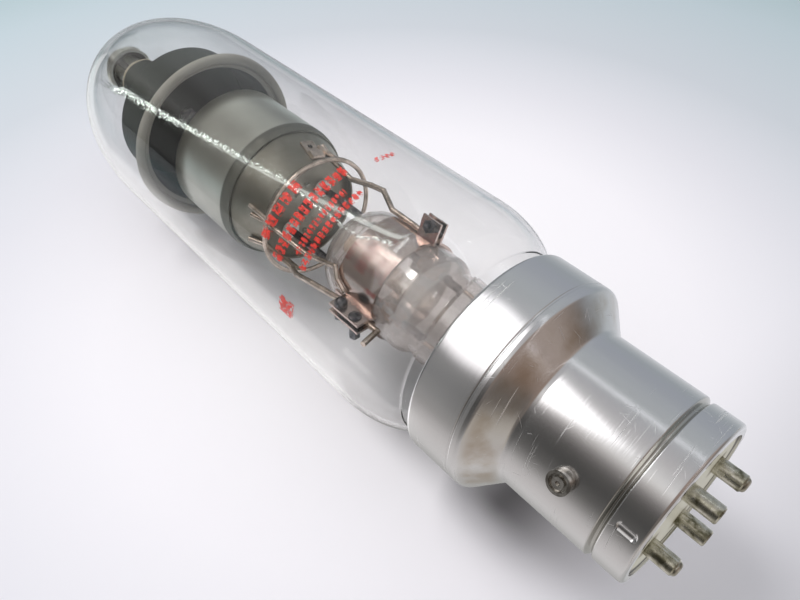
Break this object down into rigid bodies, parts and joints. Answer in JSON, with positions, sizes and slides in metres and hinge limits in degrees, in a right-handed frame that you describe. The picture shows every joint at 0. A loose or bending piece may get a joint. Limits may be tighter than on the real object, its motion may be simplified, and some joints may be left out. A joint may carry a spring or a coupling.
{
  "type": "mercury vapour rectifier tube",
  "caption": "Tall round-ended glass rectifier tube with a bell-shaped anode and a shielded cathode on a clamped stem, on a stepped metal bayonet base with contact pins and a top cap.",
  "frame": {"origin": "centre of the pin circle, on the plane that the tips of the contact pins stand on", "axes": "+Z along the tube's axis, from the base to the top cap. -Y is the side that the picture's camera is on."},
  "size_m": [0.0744, 0.0744, 0.2989],
  "materials": {
    "bulb_glass": "clear blown glass with a faint haze and fine droplets inside",
    "seal_glass": "tan sealing glass",
    "cement": "matt brown basing cement",
    "base_metal": "polished, with scratches and brown handling stains",
    "ceramic": "glazed cream ceramic, brown at the pins",
    "pin_brass": "tarnished olive brown",
    "solder": "dull smooth solder",
    "wire_metal": "plain drawn nickel",
    "dark_rod": "oxidised dark grey",
    "clamp_metal": "polished nickel with dark reflections",
    "shield_metal": "satin nickel",
    "coated_ribbon": "white oxide coating",
    "dark_anode": "matt carbonised black",
    "mercury": "liquid metal"
  },
  "bodies": {
    "root": {"glass_bulb": "bulb_glass", "stem_glass": "bulb_glass", "exhaust_tube": "seal_glass", "basing_cement": "cement", "base_shell": "base_metal", "base_insulator": "ceramic", "bayonet_pin": "pin_brass", "contact_pin_1": "pin_brass", "contact_pin_2": "pin_brass", "contact_pin_3": "pin_brass", "contact_pin_4": "pin_brass", "pin_solder": "solder", "base_wire_1": "wire_metal", "base_wire_2": "wire_metal", "lead_rod_1": "dark_rod", "lead_rod_2": "dark_rod", "lead_beads": "seal_glass", "clamp_front": "clamp_metal", "clamp_back": "clamp_metal", "clamp_screws": "dark_rod", "clamp_nuts": "dark_rod", "support_rod_1": "wire_metal", "support_rod_2": "wire_metal", "outer_shield": "shield_metal", "inner_shield": "shield_metal", "cathode_plate": "shield_metal", "cathode_wire": "wire_metal", "lead_eyelets": "ceramic", "weld_tab": "wire_metal", "cage_ring": "wire_metal", "cage_rods": "wire_metal", "filament": "coated_ribbon", "anode_bell": "dark_anode", "anode_sleeve": "dark_anode", "anode_lead": "dark_rod", "anode_seal": "seal_glass", "top_cap": "pin_brass", "cap_cement": "cement", "mercury_drops": "mercury"}
  },
  "joints": []
}
